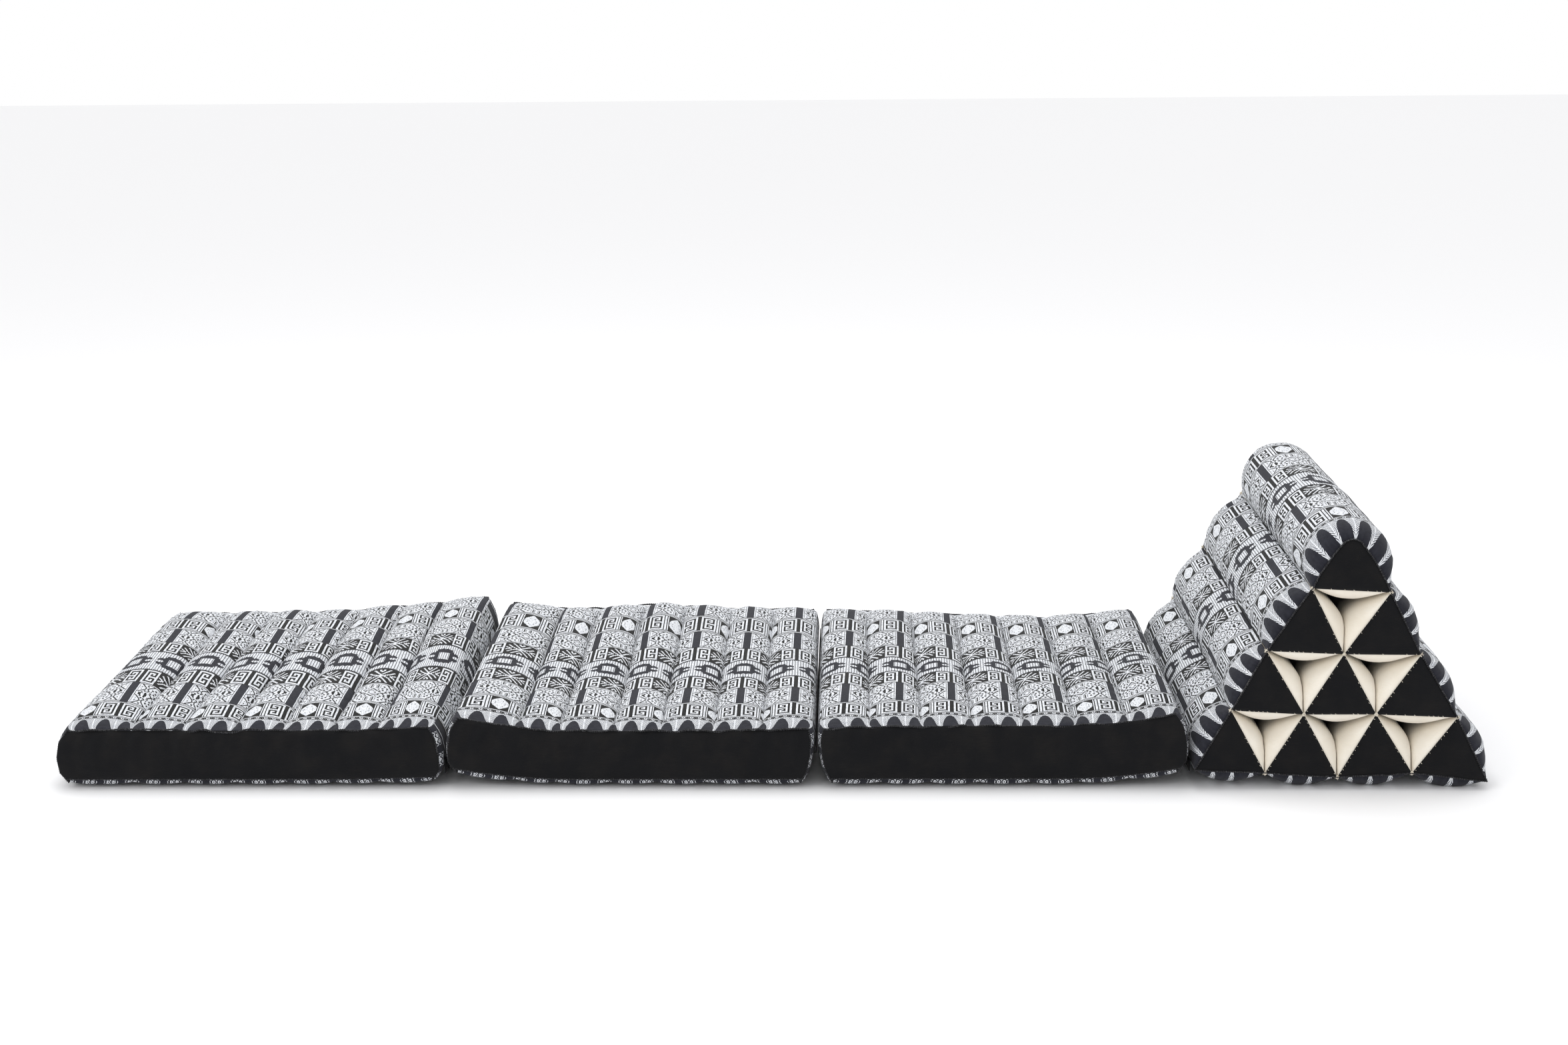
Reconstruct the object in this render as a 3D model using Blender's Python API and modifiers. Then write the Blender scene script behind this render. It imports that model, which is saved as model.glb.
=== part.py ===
"""A Thai triangle cushion with three fold-out mats, all stuffed with kapok.

Ten triangular pipes are stacked four, three, two and one high. Where three pipes meet, their walls swell
into the gap between them. Three quilted mats lie in a row in front of the stack, hinged along their seams.
Metres, +Z up. X runs from the loose end of the mats to the stack, and the front is at -Y.
"""

import math

import bmesh
import bpy
from mathutils import Vector

# Overall size, laid out
LENGTH = 1.700
DEPTH = 0.530
LEFT_END = -LENGTH / 2
HALF_DEPTH = DEPTH / 2

# Cloth and clearances
CLOTH = 0.0014
GAP = 0.0004
SKIN = CLOTH + GAP

# The mats: a quilted wrap of patterned cloth, closed at the front and back by a plain gusset.
# Under each mat the grooves rise clear of the floor and the crests lie flat on it.
CHANNELS = 7
CHANNEL_STEPS = (0.0, 0.2, 0.5, 0.8)
CHANNEL_RISE = 0.017
BASE_GROOVE = 0.011
BASE_FLAT = 0.0028
EDGE_ROLL = 0.055
DEPTH_STEPS = (0.006, 0.018, 0.040, 0.075, 0.170)
HEIGHT_STEPS = (0.2, 0.5, 0.8)
SIDE_BULGE = 0.006
CORNER_DRAW_IN = 0.005
CORNER_ROLL = 0.016
END_BEND = 0.35
GUSSET_MARGIN = 0.05
GUSSET_STEPS = 14
CUT_TOLERANCE = 1e-6

# Heights above the floor of the top seam and of the base, as each mat lies
MAT_COLUMNS = ("name", "left", "length", "left_end", "right_end",
               "seam_left", "seam_middle", "seam_right", "lift_left", "lift_right")
MAT_ROWS = (
    ("mat_1", 0.0000, 0.4650, "free", "base_hinge", 0.064, 0.064, 0.068, 0.000, 0.003),
    ("mat_2", 0.4670, 0.4400, "base_hinge", "top_hinge", 0.080, 0.063, 0.066, 0.013, 0.000),
    ("mat_3", 0.9090, 0.4393, "top_hinge", "base_hinge", 0.066, 0.069, 0.083, 0.000, 0.013),
)
MATS = [dict(zip(MAT_COLUMNS, row)) for row in MAT_ROWS]

# How far each kind of end draws in, at the base, at each of the height steps, and at the top seam
END_DRAW_IN = {
    "free": (0.010, 0.002, 0.000, 0.003, 0.012),
    "top_hinge": (0.013, 0.006, 0.002, 0.000, 0.003),
    "base_hinge": (0.009, 0.000, 0.000, 0.004, 0.012),
}

# Where one piece is sewn to the next: across from the left, and from how low to how high
HINGE_ROWS = (
    ("hinge_1_2", 0.4660, 0.018, 0.034),
    ("hinge_2_3", 0.9080, 0.043, 0.059),
    ("hinge_3_stack", 1.3491, 0.020, 0.034),
)
HINGE_CLOTH = 0.001
HINGE_END = 0.012

# The stack: seams where the pipes meet, row by row from the floor, across from its left edge and up
PIPE_ROWS = 4
STACK_LEFT = 1.3532
SEAMS_ACROSS = (
    (0.000, 0.083, 0.168, 0.255, 0.343),
    (0.041, 0.126, 0.210, 0.305),
    (0.080, 0.170, 0.259),
    (0.130, 0.221),
    (0.175,),
)
SEAMS_UP = (
    (0.017, 0.013, 0.008, 0.013, 0.003),
    (0.090, 0.085, 0.085, 0.081),
    (0.162, 0.158, 0.157),
    (0.237, 0.232),
    (0.301,),
)
SIDE_STEPS = 6

# How far the pipes' walls, outer sides and bases swell, and how far from the caps the swelling is full
WALL_BULGE = 0.0225
WALL_ROLL = 0.060
OUTER_BULGE = 0.019
OUTER_ROLL = 0.036
OUTER_ROUND = 0.72
CROWN_TOP = 0.313
FLOOR_BULGE = 0.012
FLOOR_ROUND = 0.6
PIPE_STEPS = (0.0, 0.003, 0.008, 0.016, 0.028, 0.044, 0.062)
CAP_INSET = 0.0014

BLACK = (0.012, 0.013, 0.016)
CREAM = (0.82, 0.77, 0.68)
WOVEN = (0.30, 0.31, 0.34)
COTTON_ROUGHNESS = 0.92
SHARP_ANGLE = 50


def clear_scene():
    for old in list(bpy.data.objects):
        bpy.data.objects.remove(old)


def cotton(name, colour):
    material = bpy.data.materials.new(name)
    material.use_nodes = True
    shader = material.node_tree.nodes["Principled BSDF"]
    shader.inputs["Base Color"].default_value = (*colour, 1.0)
    shader.inputs["Roughness"].default_value = COTTON_ROUGHNESS
    shader.inputs["Metallic"].default_value = 0.0
    return material


def add_part(name, mesh, material, collection):
    mesh.materials.append(material)
    mesh.shade_smooth()
    mesh.set_sharp_from_angle(angle=math.radians(SHARP_ANGLE))
    part = bpy.data.objects.new(name, mesh)
    collection.objects.link(part)
    return part


def mesh_from(bm, name):
    bmesh.ops.recalc_face_normals(bm, faces=bm.faces)
    mesh = bpy.data.meshes.new(name)
    bm.to_mesh(mesh)
    bm.free()
    return mesh


# Mats

def quarter_round(distance, radius):
    """0 at a seam, rising in a quarter round to 1 at the radius from it."""
    inward = min(1.0, distance / radius)
    return math.sqrt(1.0 - (1.0 - inward) ** 2)


def along_length(mat, key, u):
    """A seam height or base lift at u, from 0 at the mat's left end to 1 at its right."""
    middle = mat.get(key + "_middle", 0.0)
    left = max(0.0, 1.0 - u / END_BEND) ** 2
    right = max(0.0, 1.0 - (1.0 - u) / END_BEND) ** 2
    return middle + (mat[key + "_left"] - middle) * left + (mat[key + "_right"] - middle) * right


def channel_arch(u):
    """1 on the crest of each sewn channel and 0 in the grooves."""
    return math.sqrt(abs(math.sin(math.pi * CHANNELS * u)))


def end_draw_in(kind, w):
    steps = (0.0, *HEIGHT_STEPS, 1.0)
    table = END_DRAW_IN[kind]
    for low in range(len(steps) - 1):
        if w <= steps[low + 1]:
            share = (w - steps[low]) / (steps[low + 1] - steps[low])
            return table[low] + (table[low + 1] - table[low]) * share
    return table[-1]


def mat_point(mat, u, v, w):
    """A point of the mat's skin: u along its length, v from front to back, w from base to top."""
    roll = quarter_round(min(v, 1.0 - v) * DEPTH, EDGE_ROLL)
    arch = channel_arch(u)
    top = along_length(mat, "seam", u) + CHANNEL_RISE * arch * roll
    base = along_length(mat, "lift", u) + max(0.0, BASE_GROOVE * (1.0 - arch * roll) - BASE_FLAT)
    round_in = CORNER_DRAW_IN * (1.0 - quarter_round(min(v, 1.0 - v) * DEPTH, CORNER_ROLL))
    left = mat["left"] + end_draw_in(mat["left_end"], w) + round_in
    right = mat["left"] + mat["length"] - end_draw_in(mat["right_end"], w) - round_in
    side = SIDE_BULGE * math.sin(math.pi * w) - SIDE_BULGE - SKIN
    outward = {0.0: -1.0, 1.0: 1.0}.get(v, 0.0)
    inset = 1.0 if outward else 1.0 - (SIDE_BULGE + SKIN) / HALF_DEPTH
    y = (2.0 * v - 1.0) * HALF_DEPTH * inset + outward * side
    return Vector((LEFT_END + left + (right - left) * u, y, base + (top - base) * w))


def cut_cube(us, vs, ws):
    """A unit cube cut into a grid at the given shares of its sides."""
    bm = bmesh.new()
    bmesh.ops.create_cube(bm, size=1.0)
    bmesh.ops.translate(bm, verts=bm.verts, vec=(0.5, 0.5, 0.5))
    for axis, cuts in enumerate((us, vs, ws)):
        normal = [0.0, 0.0, 0.0]
        normal[axis] = 1.0
        for cut in cuts:
            point = [0.0, 0.0, 0.0]
            point[axis] = cut
            everything = list(bm.verts) + list(bm.edges) + list(bm.faces)
            bmesh.ops.bisect_plane(bm, geom=everything, plane_co=point, plane_no=normal, dist=CUT_TOLERANCE)
    return bm


def exact(share):
    """Puts a share that the cutting left a hair off 0 or 1 back on it."""
    return float(round(share)) if abs(share - round(share)) < 10 * CUT_TOLERANCE else share


def add_mat(mat, material, collection):
    us = [(n + step) / CHANNELS for n in range(CHANNELS) for step in CHANNEL_STEPS][1:]
    near = [step / DEPTH for step in DEPTH_STEPS]
    vs = near + [0.5] + [1.0 - v for v in reversed(near)]
    bm = cut_cube(us, vs, HEIGHT_STEPS)
    for vert in bm.verts:
        vert.co = mat_point(mat, *(exact(share) for share in vert.co))
    return add_part(mat["name"], mesh_from(bm, mat["name"]), material, collection)


def add_gusset(mat, side, material, collection):
    """The plain strip sewn between the top and the base, at the front (side 0) or back (side 1)."""
    word = ("front", "back")[side]
    name = f"gusset_{word}_{mat['name'][-1]}"
    heights = (GUSSET_MARGIN, *HEIGHT_STEPS, 1.0 - GUSSET_MARGIN)
    span = 1.0 - 2.0 * GUSSET_MARGIN / CHANNELS
    bm = bmesh.new()
    bmesh.ops.create_grid(bm, x_segments=GUSSET_STEPS, y_segments=len(heights) - 1, size=0.5)
    for vert in bm.verts:
        u = 0.5 + span * vert.co.x
        w = heights[round((vert.co.y + 0.5) * (len(heights) - 1))]
        vert.co = mat_point(mat, u, float(side), w)
        vert.co.y += (-GAP, GAP)[side]
    mesh = mesh_from(bm, name)
    if mesh.polygons[0].normal.y * (-1.0, 1.0)[side] < 0:
        mesh.flip_normals()
    part = add_part(name, mesh, material, collection)
    thickness = part.modifiers.new("cloth", "SOLIDIFY")
    thickness.thickness = CLOTH
    thickness.offset = 1.0
    return part


def add_hinge(name, across, low, high, material, collection):
    """The pressed seam that joins two pieces, standing between their ends."""
    bm = bmesh.new()
    bmesh.ops.create_cube(bm, size=1.0)
    bmesh.ops.scale(bm, verts=bm.verts, vec=(HINGE_CLOTH, DEPTH - 2 * HINGE_END, high - low))
    bmesh.ops.translate(bm, verts=bm.verts, vec=(LEFT_END + across, 0.0, (low + high) / 2))
    return add_part(name, mesh_from(bm, name), material, collection)


# Stack of pipes

def corner(level, place):
    """The seam where pipes meet, below a row (level) and counted from the left (place)."""
    return Vector((LEFT_END + STACK_LEFT + SEAMS_ACROSS[level][place], SEAMS_UP[level][place]))


def incentre(a, b, c):
    la, lb, lc = (b - c).length, (c - a).length, (a - b).length
    return (a * la + b * lb + c * lc) / (la + lb + lc)


def wall_bulge(a, b, middle, t, distance):
    """How far a wall between two seams swells into the hollow whose middle is given.

    It swells freely until it meets the next wall, on the line from the seam to the middle."""
    along = (b - a).normalized()
    reach = (middle - a).dot(along) / (b - a).length
    height = abs((middle - a).cross(along))
    limit = height * (t / reach if t < reach else (1.0 - t) / (1.0 - reach))
    parabola = 4.0 * t * (1.0 - t)
    free = WALL_BULGE * quarter_round(distance, WALL_ROLL) * parabola
    return min(free, limit)


def pipe_section(level, place, distance):
    """The closed outline of a pipe, at a distance from its nearer end, anticlockwise."""
    low_left, low_right, peak = corner(level, place), corner(level, place + 1), corner(level + 1, place)
    centre = (low_left + low_right + peak) / 3
    inset = [c + (centre - c).normalized() * GAP for c in (low_left, low_right, peak)]
    last = PIPE_ROWS - 1 - level
    sides = (
        ("base" if level == 0 else "wall", 0, 1, corner(level - 1, place + 1) if level else None),
        ("outer" if place == last else "wall", 1, 2, corner(level + 1, place + 1) if place < last else None),
        ("outer" if place == 0 else "wall", 2, 0, corner(level + 1, place - 1) if place else None),
    )
    outer_roll = quarter_round(distance, OUTER_ROLL)
    outline = []
    for kind, start, end, far in sides:
        a, b = inset[start], inset[end]
        outward = Vector(((b - a).y, -(b - a).x)).normalized()
        for step in range(SIDE_STEPS):
            t = step / SIDE_STEPS
            point = a + (b - a) * t
            if kind == "wall":
                middle = incentre((low_left, low_right, peak)[start], (low_left, low_right, peak)[end], far)
                swell = wall_bulge(a, b, middle, t, distance) - GAP / 2
            elif kind == "outer":
                swell = OUTER_BULGE * outer_roll * math.sin(math.pi * t) ** OUTER_ROUND
            else:
                swell = min(point.y, FLOOR_BULGE * outer_roll * math.sin(math.pi * t) ** FLOOR_ROUND)
            outline.append(point + outward * max(0.0, swell))
    if level == PIPE_ROWS - 1:
        round_the_crown(outline, inset, outer_roll)
    return outline


def round_the_crown(outline, inset, share):
    """The top pipe has no seam along its ridge, so its cloth runs round it in one arc."""
    half = (inset[1].x - inset[0].x) / 2
    centre_x = (inset[1].x + inset[0].x) / 2
    rise = CROWN_TOP - inset[0].y
    lift = (rise * rise - half * half) / (2 * rise)
    radius = rise - lift
    low = math.asin(-lift / radius)
    for step in range(SIDE_STEPS, 3 * SIDE_STEPS):
        angle = low + (math.pi - 2 * low) * (step - SIDE_STEPS) / (2 * SIDE_STEPS)
        arc = Vector((centre_x + radius * math.cos(angle), inset[0].y + lift + radius * math.sin(angle)))
        flat = inset[1].lerp(inset[2], (step - SIDE_STEPS) / SIDE_STEPS)
        if step > 2 * SIDE_STEPS:
            flat = inset[2].lerp(inset[0], (step - 2 * SIDE_STEPS) / SIDE_STEPS)
        outline[step] = flat.lerp(arc, share)


def add_pipe(level, place, material, collection):
    """Lofts the outlines from the front end to the back one."""
    name = f"pipe_{level + 1}_{place + 1}"
    end = HALF_DEPTH - SKIN
    stations = [(-end + step, step) for step in PIPE_STEPS]
    stations += [(-y, step) for y, step in reversed(stations)]
    bm = bmesh.new()
    rings = []
    for y, distance in stations:
        outline = pipe_section(level, place, distance)
        rings.append([bm.verts.new((point.x, y, point.y)) for point in outline])
    around = len(rings[0])
    for ring, following in zip(rings, rings[1:]):
        for n in range(around):
            following_n = (n + 1) % around
            bm.faces.new((ring[n], ring[following_n], following[following_n], following[n]))
    bm.faces.new(rings[0])
    bm.faces.new(rings[-1])
    return add_part(name, mesh_from(bm, name), material, collection)


def add_cap(level, place, side, material, collection):
    """The plain triangle that closes a pipe, cut from flat cloth."""
    word = ("front", "back")[side]
    name = f"cap_{word}_{level + 1}_{place + 1}"
    corners = (corner(level, place), corner(level, place + 1), corner(level + 1, place))
    centre = sum(corners, Vector((0.0, 0.0))) / 3
    outline = bpy.data.curves.new(name, "CURVE")
    outline.dimensions = "2D"
    outline.fill_mode = "BOTH"
    outline.extrude = CLOTH / 2
    edge = outline.splines.new("POLY")
    edge.points.add(len(corners) - 1)
    edge.use_cyclic_u = True
    for point, place_at in zip(edge.points, corners):
        inner = place_at + (centre - place_at).normalized() * CAP_INSET
        point.co = (inner.x, inner.y, 0.0, 1.0)
    outline.materials.append(material)
    part = bpy.data.objects.new(name, outline)
    part.rotation_euler.x = math.radians(90)
    part.location.y = (HALF_DEPTH - CLOTH / 2) * (-1.0, 1.0)[side]
    collection.objects.link(part)
    return part


def build():
    clear_scene()
    collection = bpy.data.collections.new("thai_triangle_cushion")
    bpy.context.scene.collection.children.link(collection)
    woven = cotton("woven_cotton", WOVEN)
    black = cotton("black_cotton", BLACK)
    cream = cotton("cream_cotton", CREAM)

    for mat in MATS:
        add_mat(mat, woven, collection)
        for side in (0, 1):
            add_gusset(mat, side, black, collection)

    for name, across, low, high in HINGE_ROWS:
        add_hinge(name, across, low, high, woven, collection)

    for level in range(PIPE_ROWS):
        for place in range(PIPE_ROWS - level):
            inner = 0 < place < PIPE_ROWS - 1 - level and level > 0
            add_pipe(level, place, cream if inner else woven, collection)
            for side in (0, 1):
                add_cap(level, place, side, black, collection)


build()
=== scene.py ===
"""The looks of a Thai triangle cushion with three fold-out mats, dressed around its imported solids.

Metres, +Z up. X runs from the loose end of the mats to the stack, and the front is at -Y.
"""

import math

import bmesh
import bpy
from mathutils import Matrix, Vector, noise


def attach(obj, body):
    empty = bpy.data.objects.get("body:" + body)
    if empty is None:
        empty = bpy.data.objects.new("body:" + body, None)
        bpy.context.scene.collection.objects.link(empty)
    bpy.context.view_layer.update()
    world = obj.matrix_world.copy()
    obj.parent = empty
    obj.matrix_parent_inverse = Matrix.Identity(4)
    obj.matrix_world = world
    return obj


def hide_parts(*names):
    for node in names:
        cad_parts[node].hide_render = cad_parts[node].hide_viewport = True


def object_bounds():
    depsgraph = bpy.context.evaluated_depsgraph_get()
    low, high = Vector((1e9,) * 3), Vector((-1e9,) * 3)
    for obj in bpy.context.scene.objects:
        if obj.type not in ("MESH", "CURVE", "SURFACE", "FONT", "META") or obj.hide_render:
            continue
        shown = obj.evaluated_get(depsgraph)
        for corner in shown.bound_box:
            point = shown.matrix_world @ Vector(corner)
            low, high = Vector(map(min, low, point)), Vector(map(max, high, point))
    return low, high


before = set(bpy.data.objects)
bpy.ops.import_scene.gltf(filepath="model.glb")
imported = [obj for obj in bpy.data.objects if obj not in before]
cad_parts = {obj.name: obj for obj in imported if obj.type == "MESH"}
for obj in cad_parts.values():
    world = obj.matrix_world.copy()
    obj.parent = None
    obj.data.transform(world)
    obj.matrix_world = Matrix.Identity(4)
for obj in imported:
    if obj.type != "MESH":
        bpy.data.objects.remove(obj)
cad_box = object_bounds()
scene = bpy.context.scene

# Camera
# It stands where the photograph was taken from: 2.8 m in front of the cushion and 0.96 m up, a little to
# the left of the stack, turned 1.5 degrees to the left and looking 12.7 degrees down.
CAMERA_PLACE = Vector((0.0967, -3.0667, 0.9554))
CAMERA_LENS = 57.07
CAMERA_YAW = math.radians(-1.514)
CAMERA_PITCH = math.radians(12.67)
CAMERA_ROLL = math.radians(-0.505)


def aim_camera():
    ahead = Vector((math.sin(CAMERA_YAW) * math.cos(CAMERA_PITCH),
                    math.cos(CAMERA_YAW) * math.cos(CAMERA_PITCH), -math.sin(CAMERA_PITCH)))
    level = Vector((math.cos(CAMERA_YAW), -math.sin(CAMERA_YAW), 0.0))
    above = level.cross(ahead)
    across = level * math.cos(CAMERA_ROLL) + above * math.sin(CAMERA_ROLL)
    upward = above * math.cos(CAMERA_ROLL) - level * math.sin(CAMERA_ROLL)
    turn = Matrix((across, upward, -ahead)).transposed().to_4x4()
    return Matrix.Translation(CAMERA_PLACE) @ turn


lens = bpy.data.cameras.new("camera")
lens.lens = CAMERA_LENS
lens.sensor_width = 36.0
camera = bpy.data.objects.new("camera", lens)
camera.matrix_world = aim_camera()
scene.collection.objects.link(camera)
scene.camera = camera

# Studio
# A pale paper floor under a broad soft light from above and in front, with pale walls all round, so that
# the cushion casts only a soft shadow where it touches the floor.
FLOOR_SIZE = 30.0
FLOOR_TONE = (0.93, 0.93, 0.94)
ROOM_TONE = (1.0, 1.0, 1.0)
ROOM_STRENGTH = 1.0


def paper_floor():
    material = bpy.data.materials.new("studio_paper")
    material.use_nodes = True
    tree = material.node_tree
    shader = tree.nodes["Principled BSDF"]
    shader.inputs["Roughness"].default_value = 0.9
    shader.inputs["Specular IOR Level"].default_value = 0.1
    mottle = tree.nodes.new("ShaderNodeTexNoise")
    mottle.inputs["Scale"].default_value = 3.0
    ramp = tree.nodes.new("ShaderNodeValToRGB")
    ramp.color_ramp.elements[0].color = (*(0.985 * tone for tone in FLOOR_TONE), 1.0)
    ramp.color_ramp.elements[1].color = (*FLOOR_TONE, 1.0)
    tree.links.new(mottle.outputs["Fac"], ramp.inputs["Fac"])
    tree.links.new(ramp.outputs["Color"], shader.inputs["Base Color"])
    return material


bm = bmesh.new()
bmesh.ops.create_grid(bm, x_segments=1, y_segments=1, size=FLOOR_SIZE / 2)
floor_mesh = bpy.data.meshes.new("studio_floor")
bm.to_mesh(floor_mesh)
bm.free()
floor_mesh.materials.append(paper_floor())
studio_floor = bpy.data.objects.new("studio_floor", floor_mesh)
scene.collection.objects.link(studio_floor)

scene.view_settings.view_transform = "Standard"
room = bpy.data.worlds.new("studio_room")
room.use_nodes = True
room.node_tree.nodes["Background"].inputs["Color"].default_value = (*ROOM_TONE, 1.0)
room.node_tree.nodes["Background"].inputs["Strength"].default_value = ROOM_STRENGTH
scene.world = room

# Name, place, aim, size and power of each softbox
SOFTBOXES = (
    ("softbox_above", (-0.4, 0.2, 3.0), (0.0, 0.0, 0.0), 2.4, 34.0),
    ("softbox_front", (-2.4, -3.0, 2.2), (0.3, 0.0, 0.1), 1.6, 22.0),
)
for name, place, aim, size, power in SOFTBOXES:
    box = bpy.data.lights.new(name, "AREA")
    box.shape = "SQUARE"
    box.size = size
    box.energy = power
    light = bpy.data.objects.new(name, box)
    light.location = place
    light.rotation_euler = (Vector(aim) - Vector(place)).to_track_quat("-Z", "Y").to_euler()
    scene.collection.objects.link(light)

# Plain cotton
# The black of the gussets and caps, and the cream of the pipes' inner walls, are plain-woven cotton. It is
# matt and a little uneven, with the crossing of its threads just showing and specks of lint on it.
BLACK_YARN = (0.0026, 0.0029, 0.0041)
BLACK_WORN = (0.0056, 0.0055, 0.0062)
CREAM_YARN = (0.80, 0.735, 0.625)
CREAM_PALE = (0.90, 0.86, 0.78)
PLAIN_THREAD = 0.0011
LINT_TONE = (0.07, 0.055, 0.038)
CREAM_LINT = (0.55, 0.47, 0.36)
# Painted shade: the dark tone that the cream walls are blended to deep inside the hollows.
PAINTED_HOLLOW_SHADE = (0.050, 0.042, 0.034)


def shader_tree(name, roughness, sheen):
    material = bpy.data.materials.new(name)
    material.use_nodes = True
    tree = material.node_tree
    shader = tree.nodes["Principled BSDF"]
    shader.inputs["Roughness"].default_value = roughness
    shader.inputs["Specular IOR Level"].default_value = 0.18
    shader.inputs["Sheen Weight"].default_value = sheen
    shader.inputs["Sheen Roughness"].default_value = 0.6
    return material, tree, shader


def add_node(tree, kind, **settings):
    node = tree.nodes.new(kind)
    for key, value in settings.items():
        setattr(node, key, value)
    return node


def feed(tree, socket, value):
    if isinstance(value, Wire):
        value = value.socket
    if isinstance(value, bpy.types.NodeSocket):
        tree.links.new(value, socket)
    else:
        socket.default_value = value


def wired(tree, kind, inputs, **settings):
    """The outputs of a new node, whose inputs are fed by name or by number."""
    node = add_node(tree, kind, **settings)
    for key, value in inputs.items():
        feed(tree, node.inputs[key], value)
    return node.outputs


def sum_by(operation, turned=False):
    """A method that puts a wire and its partners through a Math node, in reverse order if turned."""

    def work(wire, *others):
        values = [wire, *others]
        if turned:
            values.reverse()
        outputs = wired(wire.tree, "ShaderNodeMath", dict(enumerate(values)), operation=operation)
        return Wire(wire.tree, outputs[0])

    return work


class Wire:
    """A number that nodes carry. Each sum or comparison with it adds a Math node to its tree."""

    def __init__(self, tree, socket):
        self.tree = tree
        self.socket = socket

    __add__ = __radd__ = sum_by("ADD")
    __sub__ = sum_by("SUBTRACT")
    __rsub__ = sum_by("SUBTRACT", turned=True)
    __mul__ = __rmul__ = sum_by("MULTIPLY")
    __truediv__ = sum_by("DIVIDE")
    __mod__ = sum_by("MODULO")
    __pow__ = sum_by("POWER")
    __rpow__ = sum_by("POWER", turned=True)
    __gt__ = sum_by("GREATER_THAN")
    __lt__ = sum_by("LESS_THAN")
    __abs__ = sum_by("ABSOLUTE")
    most = sum_by("MAXIMUM")
    least = sum_by("MINIMUM")
    floor = sum_by("FLOOR")
    fract = sum_by("FRACT")
    sqrt = sum_by("SQRT")
    sine = sum_by("SINE")
    pingpong = sum_by("PINGPONG")


def object_place(tree):
    return add_node(tree, "ShaderNodeTexCoord").outputs["Object"]


def split_place(tree, place):
    return [Wire(tree, part) for part in wired(tree, "ShaderNodeSeparateXYZ", {0: place})]


def stretched(tree, place, factors):
    return wired(tree, "ShaderNodeVectorMath", {0: place, 1: factors}, operation="MULTIPLY")[0]


def blend_colours(share, first, second):
    node = add_node(share.tree, "ShaderNodeMix", data_type="RGBA")
    feed(share.tree, node.inputs["Factor"], share)
    for key, colour in (("A", first), ("B", second)):
        feed(share.tree, node.inputs[key], (*colour, 1.0) if isinstance(colour, tuple) else colour)
    return node.outputs["Result"]


def cloud(tree, place, size, detail=2.0):
    """Soft unevenness about 0.5, in patches of a given size."""
    inputs = {"Vector": place, "Scale": 1.0 / size, "Detail": detail}
    return Wire(tree, wired(tree, "ShaderNodeTexNoise", inputs)["Fac"])


def ramp_between(value, low, high):
    """0 where the value is under the low mark, rising to 1 at the high one."""
    inputs = {"Value": value, "From Min": low, "From Max": high}
    return Wire(value.tree, wired(value.tree, "ShaderNodeMapRange", inputs)["Result"])


def raise_bump(tree, shader, height, distance, strength):
    inputs = {"Distance": distance, "Strength": strength, "Height": height}
    feed(tree, shader.inputs["Normal"], wired(tree, "ShaderNodeBump", inputs)["Normal"])


def thread_crossing(across, along, pitch):
    """Height of a plain weave: threads running each way, over and under."""
    turn = 2 * math.pi / pitch
    return (across * turn).sine() * (along * turn).sine()


def plain_cotton(name, yarn, worn, lint, lint_share, roughness, sheen):
    material, tree, shader = shader_tree(name, roughness, sheen)
    place = object_place(tree)
    x, y, z = split_place(tree, place)
    weave = thread_crossing(x + y, z, PLAIN_THREAD)
    slubs = cloud(tree, stretched(tree, place, (1.0, 1.0, 9.0)), 0.009)
    wear = ramp_between(cloud(tree, place, 0.045, 4.0), 0.42, 0.72) * 0.6 + slubs * 0.4
    dust = ramp_between(cloud(tree, place, 0.030, 3.0), 0.45, 0.75) * slubs
    specks = (ramp_between(cloud(tree, place, 0.0014, 0.0), 0.74, 0.80) * 0.4 + dust) * lint_share
    cloth = blend_colours(specks, blend_colours(wear, yarn, worn), lint)
    feed(tree, shader.inputs["Base Color"], cloth)
    raise_bump(tree, shader, weave * 0.25 + slubs, 0.0004, 0.55)
    return material


black_cotton = plain_cotton("black_cotton", BLACK_YARN, BLACK_WORN, LINT_TONE, 0.10, 0.88, 0.02)
cream_cotton = plain_cotton("cream_cotton", CREAM_YARN, CREAM_PALE, CREAM_LINT, 0.35, 0.9, 0.2)


def paint_hollow_shade(material, unshaded_depth, shaded_depth, tone):
    """Paints shade into a cloth's colour deep in the hollows: its own colour up to one depth from its ends,
    fully the shade tone beyond another.
    """
    tree = material.node_tree
    colour = tree.nodes["Principled BSDF"].inputs["Base Color"]
    x, y, z = split_place(tree, object_place(tree))
    share = ramp_between(cad_box[1][1] - abs(y), unshaded_depth, shaded_depth)
    feed(tree, colour, blend_colours(share, colour.links[0].from_socket, tone))


# Painted shade: the cream walls darken from 34 mm to 80 mm in from the pipes' ends, for the shade deep in the
# hollows.
paint_hollow_shade(cream_cotton, 0.034, 0.080, PAINTED_HOLLOW_SHADE)

# Figured cloth
# The mats and the outer pipes are covered in a black and white figured weave of traditional bands: keys,
# crossed lines beside a solid bar, stars, and stepped lozenges, with a border of feathers and lobes.
# Each chart is one quarter of its band: the left column is the repeat's own middle, the top row the
# band's edge and the bottom row its middle. A cell marked # is white.
REPEAT = 0.080
CHART_WIDTH = 32
CHART_HALF = 16
CELL_DEPTH = 0.002

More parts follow.
